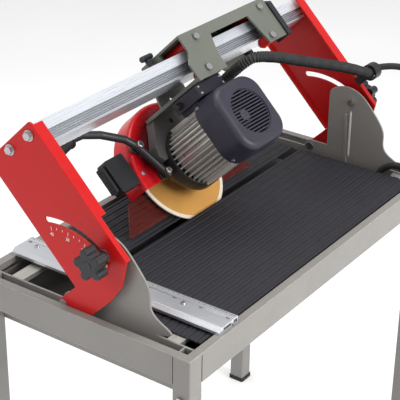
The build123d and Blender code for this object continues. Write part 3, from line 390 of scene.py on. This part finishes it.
# ------------------------------------------------------------------ mesh tools
def add_mesh(name, verts, faces, material, body, sharp_angle=None):
    """Mesh object, smooth up to sharp_angle degrees, or flat without one."""
    mesh = bpy.data.meshes.new(name)
    mesh.from_pydata([tuple(vert) for vert in verts], [], faces)
    mesh.validate()
    work = bmesh.new()
    work.from_mesh(mesh)
    bmesh.ops.recalc_face_normals(work, faces=work.faces)
    work.to_mesh(mesh)
    work.free()
    piece = bpy.data.objects.new(name, mesh)
    scene.collection.objects.link(piece)
    mesh.materials.append(MATERIALS[material])
    if sharp_angle:
        for polygon in mesh.polygons:
            polygon.use_smooth = True
        mesh.set_sharp_from_angle(angle=math.radians(sharp_angle))
    if body:
        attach(piece, body)
    return piece


def bridge(first, second, size):
    """Quads between two rings of vertices, given the index each starts at."""
    return [(first + i, first + (i + 1) % size, second + (i + 1) % size, second + i)
            for i in range(size)]


def skin(rings, size, closed=False):
    """Faces over successive rings: joined end to end if closed, else capped."""
    faces = []
    for i in range(rings if closed else rings - 1):
        faces += bridge(i * size, (i + 1) % rings * size, size)
    if not closed:
        faces.append(tuple(range(size - 1, -1, -1)))
        faces.append(tuple(range((rings - 1) * size, rings * size)))
    return faces


def add_prisms(name, outlines, origin, axes, depth, material, body):
    """Prisms on outlines in the first two axes, pushed depth mm along the third."""
    across, up, out = axes
    verts, faces = [], []
    for outline in outlines:
        start, size = len(verts), len(outline)
        for level in (0, depth):
            for a, b in outline:
                verts.append(origin + (across * a + up * b + out * level) / 1000)
        faces.append(tuple(range(start + size - 1, start - 1, -1)))
        faces.append(tuple(range(start + size, start + 2 * size)))
        faces += bridge(start, start + size, size)
    add_mesh(name, verts, faces, material, body)


def smooth_curve(points, per_span=24):
    """Catmull-Rom curve through the points."""
    knots = [points[0] * 2 - points[1]] + list(points) + [points[-1] * 2 - points[-2]]
    curve = []
    for p0, p1, p2, p3 in zip(knots, knots[1:], knots[2:], knots[3:]):
        for k in range(per_span):
            t = k / per_span
            curve.append(0.5 * ((2 * p1) + (p2 - p0) * t
                                + (2 * p0 - 5 * p1 + 4 * p2 - p3) * t * t
                                + (3 * p1 - p0 - 3 * p2 + p3) * t ** 3))
    curve.append(points[-1].copy())
    return curve


def resample(path, step):
    """Even stations along a path, about step apart."""
    reach = [0.0]
    for a, b in zip(path, path[1:]):
        reach.append(reach[-1] + (b - a).length)
    count = max(2, int(round(reach[-1] / step)))
    stations, j = [], 0
    for i in range(count + 1):
        target = reach[-1] * i / count
        while j < len(reach) - 2 and reach[j + 1] < target:
            j += 1
        gap = reach[j + 1] - reach[j]
        stations.append(path[j].lerp(path[j + 1], 0 if gap == 0 else (target - reach[j]) / gap))
    return stations


def tube(name, path, radius_at, material, body, segments):
    """Capped tube; radius_at(index, count, distance) gives each ring's radius."""
    count = len(path)
    tangents = [(path[min(i + 1, count - 1)] - path[max(i - 1, 0)]).normalized()
                for i in range(count)]
    side = Z if abs(tangents[0].z) < 0.9 else Y
    verts, distance = [], 0.0
    for i, tangent in enumerate(tangents):
        if i:
            distance += (path[i] - path[i - 1]).length
        side = (side - tangent * side.dot(tangent)).normalized()
        other = tangent.cross(side)
        radius = radius_at(i, count, distance)
        for k in range(segments):
            angle = 2 * math.pi * k / segments
            verts.append(path[i] + (side * math.cos(angle) + other * math.sin(angle)) * radius)
    return add_mesh(name, verts, skin(count, segments), material, body, sharp_angle=60.0)


def lathe(name, origin, axis, profile, material, body, segments=48):
    """Turned piece; profile rows are (distance along axis, radius), radius 0 a pole."""
    axis = axis.normalized()
    side = axis.orthogonal().normalized()
    other = axis.cross(side)
    verts, faces, rings = [], [], []
    for along, radius in profile:
        size = segments if radius else 1
        rings.append((len(verts), size))
        for k in range(size):
            angle = 2 * math.pi * k / segments
            verts.append(origin + axis * (along / 1000)
                         + (side * math.cos(angle) + other * math.sin(angle)) * (radius / 1000))
    for (a, a_size), (b, b_size) in zip(rings, rings[1:]):
        if a_size == 1:
            faces += [(a, b + (k + 1) % segments, b + k) for k in range(segments)]
        elif b_size == 1:
            faces += [(a + k, a + (k + 1) % segments, b) for k in range(segments)]
        else:
            faces += bridge(a, b, segments)
    return add_mesh(name, verts, faces, material, body, sharp_angle=35.0)


# ------------------------------------------------------------------ ribbed table mats
RIB_PITCH = 16.4                     # mm, adjusted to fit a whole number
GROOVE_HALF, GROOVE_DEPTH = 0.0021, 0.0016
MAT_CHAMFER = 0.0008
# Half sections as (distance from the centre line, height), outermost point first
GROOVE = ((GROOVE_HALF + 0.0007, 0), (GROOVE_HALF, -0.0003),
          (GROOVE_HALF - 0.0006, -GROOVE_DEPTH))
LAND_LINE = ((0.0016, 0), (0.0010, -0.0005))    # fine line along the middle of each land


def mirrored(half, y, z):
    """Both halves of a section, centred on y, from -Y to +Y."""
    return ([(y - across, z + height) for across, height in half]
            + [(y + across, z + height) for across, height in reversed(half)])


def ribbed_mat(name, node_name):
    low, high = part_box(node_name)
    width = high.y - low.y
    count = int(round(width * 1000 / RIB_PITCH))
    pitch = width / count
    profile = [(low.y, low.z), (low.y, high.z - MAT_CHAMFER), (low.y + MAT_CHAMFER, high.z)]
    for i in range(count):
        centre = low.y + pitch * (i + 0.5)
        profile += mirrored(GROOVE, centre, high.z)
        if i < count - 1:
            profile += mirrored(LAND_LINE, centre + pitch / 2, high.z)
    profile += [(high.y - MAT_CHAMFER, high.z), (high.y, high.z - MAT_CHAMFER), (high.y, low.z)]
    verts = []
    for x, drop in ((low.x, MAT_CHAMFER), (low.x + MAT_CHAMFER, 0),
                    (high.x - MAT_CHAMFER, 0), (high.x, MAT_CHAMFER)):
        for y, z in profile:
            verts.append(Vector((x, y, z - (drop if z > low.z + 1e-6 else 0))))
    piece = add_mesh(name, verts, skin(4, len(profile)), "table_black", "stand")
    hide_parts(node_name)


ribbed_mat("ribbed_mat_right", "table_panel_right")
ribbed_mat("ribbed_mat_left", "table_panel_left")


# ------------------------------------------------------------------ blade rim
def blade_rim(inner=0.0930, outer=0.1002, half=0.00135, chamfer=0.0003, segments=180):
    centre = head_point(BLADE_X, BLADE_S, BLADE_N)
    section = (      # radius, offset along NORMAL
        (inner, -half), (outer - chamfer, -half), (outer, -half + chamfer),
        (outer, half - chamfer), (outer - chamfer, half), (inner, half))
    verts = []
    for k in range(segments):
        angle = 2 * math.pi * k / segments
        spoke = X * math.cos(angle) + SLOPE * math.sin(angle)
        verts += [centre + spoke * radius + NORMAL * n for radius, n in section]
    add_mesh("blade_rim", verts, skin(segments, len(section), closed=True),
             "blade_gold", "spindle", sharp_angle=25.0)


blade_rim()


# ------------------------------------------------------------------ hoses
def corrugated(radius, pitch, depth):
    def radius_at(index, count, distance):
        phase = (distance / pitch) % 1.0
        return radius - depth * (0.5 - 0.5 * math.cos(2 * math.pi * phase)) ** 0.7
    return radius_at


# Terminal box, round behind the carriage plate, along to the far bracket's strap: x, s, n
CONDUIT_POINTS = (
    (BLADE_X + 37, BOX_S, 108), (BLADE_X + 46, 171, 110), (BLADE_X + 59, 170, 126),
    (BLADE_X + 64, 172, 158), (BLADE_X + 66, 172, 192), (BLADE_X + 80, 167, 212),
    (150, 147, 218), (190, 128, 217), (298, 76, 215), (358, 48, 206.5), (374, 45.6, STRAP_N),
    (394, STRAP_S, STRAP_N))
# Pump, over the corner of the tray and round a loop: x, y, z
WATER_POINTS = (
    (326.5, -112, -30), (337, -112.2, -29), (345, -116, -20), (348, -125, 0), (349, -150, 17),
    (353, -195, 22), (372, -236, 42), (410, -256, 90), (438, -214, 146), (438, -150, 176),
    (418, -104, 184))
# Into the far end of the strap: x, s, n
WATER_END = ((400, 45.5, STRAP_N), (392.5, STRAP_S, STRAP_N))

conduit = tube("conduit_hose",
               resample(smooth_curve([head_point(*p) for p in CONDUIT_POINTS]), step=0.0010),
               corrugated(radius=0.0101, pitch=0.0048, depth=0.0019),
               "rubber_black", None, segments=22)
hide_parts("conduit", "conduit_tail")
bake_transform(conduit)

water_points = [from_mm(*p) for p in WATER_POINTS] + [head_point(*p) for p in WATER_END]
water_hose = tube("water_hose_tube", resample(smooth_curve(water_points), step=0.0022),
                  corrugated(radius=0.0064, pitch=0.0044, depth=0.00035),
                  "rubber_black", None, segments=20)
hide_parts("water_hose")
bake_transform(water_hose)

# Cable glands on both ends of the terminal box
for name, side, n, radius in (("gland_right", 1, 108, 11.4), ("gland_left", -1, 104, 7.0)):
    lathe(name, head_point(BLADE_X + side * 37.5, BOX_S, n), X * side,
          [(0, 0), (0, radius), (3.5, radius), (4.0, radius - 0.8), (8.5, radius - 1.0),
           (9.5, radius - 2.0), (9.5, 0)],
          "black_plastic", "carriage")


# ------------------------------------------------------------------ ribbed handle grip
def handle_grip(rib_pitch=5.2):
    start = head_point(BLADE_X - 221.6, 219.2, 23)
    end = head_point(BLADE_X - 276.4, 207.02, 23)
    length = (end - start).length * 1000
    profile = [(0, 7.3), (0, 12.6), (0.8, 13.4), (3.2, 13.4), (4.0, 12.4), (5.0, 10.6)]
    along = 7.0
    while along < length - 11:
        profile += [(along, 10.4), (along + 0.8, 11.4), (along + 2.8, 11.4), (along + 3.6, 10.4)]
        along += rib_pitch
    profile += [(length - 5.5, 11.2), (length - 3.0, 11.9), (length - 1.2, 11.2),
                (length, 8.6), (length, 0)]
    grip = lathe("grip_sleeve", start, end - start, profile,
                 "rubber_black", "carriage")
    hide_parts("handle_grip")


handle_grip()


# ------------------------------------------------------------------ printed scales
def print_number(name, text, size, origin, axes, material, body):
    """Thin raised digits; axes are their reading, upward and outward directions."""
    curve = bpy.data.curves.new(name + "_c", "FONT")
    curve.body = text
    curve.size = size / 1000
    curve.align_x = "CENTER"
    curve.align_y = "CENTER"
    curve.extrude = 0.00006
    curve.offset = 0.00008
    source = bpy.data.objects.new(name + "_c", curve)
    scene.collection.objects.link(source)
    bpy.context.view_layer.update()
    depsgraph = bpy.context.evaluated_depsgraph_get()
    mesh = bpy.data.meshes.new_from_object(source.evaluated_get(depsgraph))
    bpy.data.objects.remove(source)
    mesh.transform(Matrix((*((*axis, 0) for axis in axes), (0, 0, 0, 1))).transposed())
    mesh.transform(Matrix.Translation(origin))
    mesh.name = name
    piece = bpy.data.objects.new(name, mesh)
    scene.collection.objects.link(piece)
    mesh.materials.clear()
    mesh.materials.append(MATERIALS[material])
    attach(piece, body)


# Tilt dials on both end faces: ticks every 5 degrees and numbers every 15
DIAL_X = 380.15
TICK_OUTER, DIGIT_RADIUS = 131.0, 118.0
TICK_HALF = 0.45


def dial_tick(degrees):
    angle = DIAL_ZERO - degrees
    n0, s0 = head_polar(TICK_OUTER, angle)
    n1, s1 = head_polar(TICK_OUTER - (7.0 if degrees % 15 == 0 else 4.0), angle)
    ds, dn = head_polar(TICK_HALF, angle)      # swapped, to step across the ray
    return [(n0 - dn, s0 + ds), (n0 + dn, s0 - ds), (n1 + dn, s1 - ds), (n1 - dn, s1 + ds)]


for side_name, side in SIDES:
    add_prisms("angle_ticks_" + side_name, [dial_tick(degrees) for degrees in range(0, 50, 5)],
               head_point(side * DIAL_X, 0, 0), (NORMAL, SLOPE, X * side), 0.12,
               "ink_white", "tilt_frame")
    for degrees in (0, 15, 30, 45):
        n, s = head_polar(DIGIT_RADIUS, DIAL_ZERO - degrees)
        # digits stand upright for someone facing the plate
        print_number("angle_digit_%s_%d" % (side_name, degrees), str(degrees), 7.5,
                     head_point(side * (DIAL_X + 0.07), s, n), (Y * side, Z, X * side),
                     "ink_white", "tilt_frame")

# Fence rule: ticks every 5 mm along the +X edge, numbers every 50 mm
_, fence_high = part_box("stop_fence")
TICK_EDGE = fence_high.x * 1000 - 0.8
RULE_GAP = range(49, 94)                       # bare stretch of the rule
DIGIT_INSET, DIGIT_DROP = 0.0142, 0.00046      # from the fence's +X edge and its top


def rule_tick(y):
    length = 5.5 if y % 50 == 0 else (4.2 if y % 10 == 0 else 2.6)
    return [(TICK_EDGE - length, y - 0.35), (TICK_EDGE, y - 0.35),
            (TICK_EDGE, y + 0.35), (TICK_EDGE - length, y + 0.35)]


add_prisms("fence_ticks", [rule_tick(y) for y in range(-205, 206, 5) if y not in RULE_GAP],
           Vector((0, 0, fence_high.z + 0.00002)), (X, Y, Z), 0.1,
           "ink_black", "fence")
for y in range(-200, 201, 50):
    if y not in RULE_GAP:
        origin = Vector((fence_high.x - DIGIT_INSET, y / 1000, fence_high.z - DIGIT_DROP))
        print_number("fence_digit_%s" % str(y).replace("-", "m"), str(abs(y)), 4.6, origin,
                     (Y, -X, Z), "ink_black", "fence")


# ------------------------------------------------------------------ fasteners and fittings
def screw(name, centre, radius, height):
    lathe(name, centre, NORMAL,
          [(-0.4, 0), (-0.4, radius), (height * 0.45, radius), (height * 0.8, radius * 0.86),
           (height, radius * 0.5), (height, 0)],
          "steel", "carriage", segments=28)


for i, (dx, ds) in enumerate(((-31, -6.5), (31, -6.5), (-31, 6.5), (31, 6.5))):
    screw("lid_screw_%d" % i, head_point(BLADE_X + dx, BOX_S + ds, 157.9), 2.6, 1.6)
for i, (dx, ds) in enumerate(((-96, 60), (-108, 20), (60, 98), (98, 52))):
    screw("guard_screw_%d" % i, head_point(BLADE_X + dx, BLADE_S + ds, 10.0), 4.2, 2.4)

# Lip along the shield's lower edge: x, s
SHIELD_LIP = [(BLADE_X - 183, 31.4), (BLADE_X + 177.5, 31.4),
              (BLADE_X + 178.4, 35.2), (BLADE_X - 181.8, 35.2)]
add_prisms("shield_lip", [SHIELD_LIP], head_point(0, 0, -31.2), (X, SLOPE, NORMAL), 6.2,
           "shield_red", "carriage")

# Centre discs, sunk 0.6 mm into the clamp knobs' outer faces
KNOB_FACE_X = 420.4
for side_name, side in SIDES:
    lathe("knob_cap_" + side_name, from_mm(side * (KNOB_FACE_X - 0.6), STUD_Y, STUD_Z),
          X * side, [(0, 0), (0, 8.8), (0.9, 8.8), (1.5, 8.0), (1.5, 0)],
          "black_plastic", "knob_" + side_name)

# Drawn ribs along the lower half of the rail's outer face
RAIL_HALF = 353.5
rib_starts = [208.0 + 3.6 * k for k in range(5)]
add_prisms("rail_ribs",
           [[(-RAIL_HALF, s), (RAIL_HALF, s), (RAIL_HALF, s + 1.7), (-RAIL_HALF, s + 1.7)]
            for s in rib_starts],
           head_point(0, 0, 159.9), (X, SLOPE, NORMAL), 0.7,
           "rail_grey", "tilt_frame")


# Upright beads
def upright_bead(name, x, y, z_range, step, radius_at, material, segments):
    path = resample([from_mm(x, y, z) for z in z_range], step)
    tube(name, path, radius_at, material, "stand", segments)


def pressed_radius(index, count, distance):
    """Full radius, tapering towards both ends."""
    return 0.0022 * min(1.0, 0.25 + distance * 120, 0.25 + (count - 1 - index) * 0.3)


def weld_radius(index, count, distance):
    return 0.0008 + 0.0003 * math.sin(distance * 2600)


# Pressed into the inner faces of the end plates, under the clamp studs, in lighter paint as a
# painted highlight along them
for side_name, side in SIDES:
    upright_bead("plate_bead_" + side_name, side * 359.7, STUD_Y, (2, 98), 0.002,
                 pressed_radius, "bead_highlight", segments=14)

# Welds where the legs meet the tray, one on each wall beside each corner
TRAY_HALF_X, TRAY_HALF_Y = 395, 215
WELD_INSET, WELD_PROUD = 32.3, 0.2
for i, (sx, sy) in enumerate(((-1, -1), (-1, 1), (1, -1), (1, 1))):
    for wall, x, y in (
            ("short", TRAY_HALF_X + WELD_PROUD, TRAY_HALF_Y - WELD_INSET),
            ("long", TRAY_HALF_X - WELD_INSET, TRAY_HALF_Y + WELD_PROUD)):
        upright_bead("weld_%s_%d" % (wall, i), sx * x, sy * y, (-47, -5), 0.0012,
                     weld_radius, "frame_grey", segments=10)

# ------------------------------------------------------------------ floor
FLOOR_HALF, FLOOR_Z = 9, -0.6202
floor_mesh = bpy.data.meshes.new("floor")
floor_mesh.from_pydata([(sx * FLOOR_HALF, sy * FLOOR_HALF, FLOOR_Z)
                        for sx, sy in ((-1, -1), (1, -1), (1, 1), (-1, 1))], [], [(0, 1, 2, 3)])
floor = bpy.data.objects.new("floor", floor_mesh)
scene.collection.objects.link(floor)
pale = Mat("floor_pale")
pale.feed(
    Base_Color=pale.mix(pale.ramp(pale.noise(scale=1.5, detail=3.0), span=(0.3, 0.7)),
                        (0.86, 0.86, 0.86, 1), (0.9, 0.9, 0.9, 1)),
    Roughness=0.7,
    Specular_IOR_Level=0.2,
    Emission_Color=(1, 1, 1, 1),
    Emission_Strength=0.16)
floor_mesh.materials.append(MATERIALS["floor_pale"])

# ------------------------------------------------------------------ world
# White to the lens, while the fill it throws on the machine is softer
world = bpy.data.worlds.new("studio")
scene.world = world
world.use_nodes = True
world_tree = world.node_tree
background = world_tree.nodes["Background"]
background.inputs["Color"].default_value = (1, 1, 1, 1)
light_path = world_tree.nodes.new("ShaderNodeLightPath")
strength = world_tree.nodes.new("ShaderNodeMapRange")
strength.inputs["To Min"].default_value = 0.62
strength.inputs["To Max"].default_value = 1.0
world_tree.links.new(light_path.outputs["Is Camera Ray"], strength.inputs["Value"])
world_tree.links.new(strength.outputs["Result"], background.inputs["Strength"])


# ------------------------------------------------------------------ lights
def area_light(name, location, target, size, watts):
    light = bpy.data.lights.new(name, "AREA")
    light.shape = "RECTANGLE"
    light.size, light.size_y = size
    light.energy = watts
    lamp = bpy.data.objects.new(name, light)
    scene.collection.objects.link(lamp)
    lamp.location = location
    aim = (Vector(target) - Vector(location)).normalized()
    lamp.rotation_euler = aim.to_track_quat("-Z", "Y").to_euler()


area_light("key", location=(0.4, -2.9, 1.5), target=(0, 0, 0.0), size=(1.8, 1.6), watts=82)
area_light("left", location=(-2.4, 0.8, 1.6), target=(0, 0, 0.1), size=(1.2, 1.6), watts=14)
area_light("top", location=(0.2, 0.2, 2.6), target=(0, 0, 0.1), size=(2.2, 1.6), watts=38)

# ------------------------------------------------------------------ camera
CAMERA_PLACE = (-1.68166, -1.13454, 1.07124)
# Radians: heading from +X towards +Y, dip below level, roll about the line of sight
HEADING, DIP, ROLL = 0.6132356, 0.4704067, 0.0140741

camera = bpy.data.cameras.new("camera")
camera.sensor_width = 36.0
camera.lens = 117.78273
camera.clip_start, camera.clip_end = 0.05, 60.0
camera_object = bpy.data.objects.new("camera", camera)
scene.collection.objects.link(camera_object)
sight = Vector((math.cos(DIP) * math.cos(HEADING), math.cos(DIP) * math.sin(HEADING),
                -math.sin(DIP)))
level = sight.cross(Z).normalized()
upright = level.cross(sight)
right = level * math.cos(ROLL) + upright * math.sin(ROLL)
up = -level * math.sin(ROLL) + upright * math.cos(ROLL)
camera_object.matrix_world = Matrix(
    (*zip(right, up, -sight, CAMERA_PLACE), (0, 0, 0, 1)))
scene.camera = camera_object
scene.view_settings.view_transform = "Standard"
scene.view_settings.exposure = 0.0

bpy.context.view_layer.update()
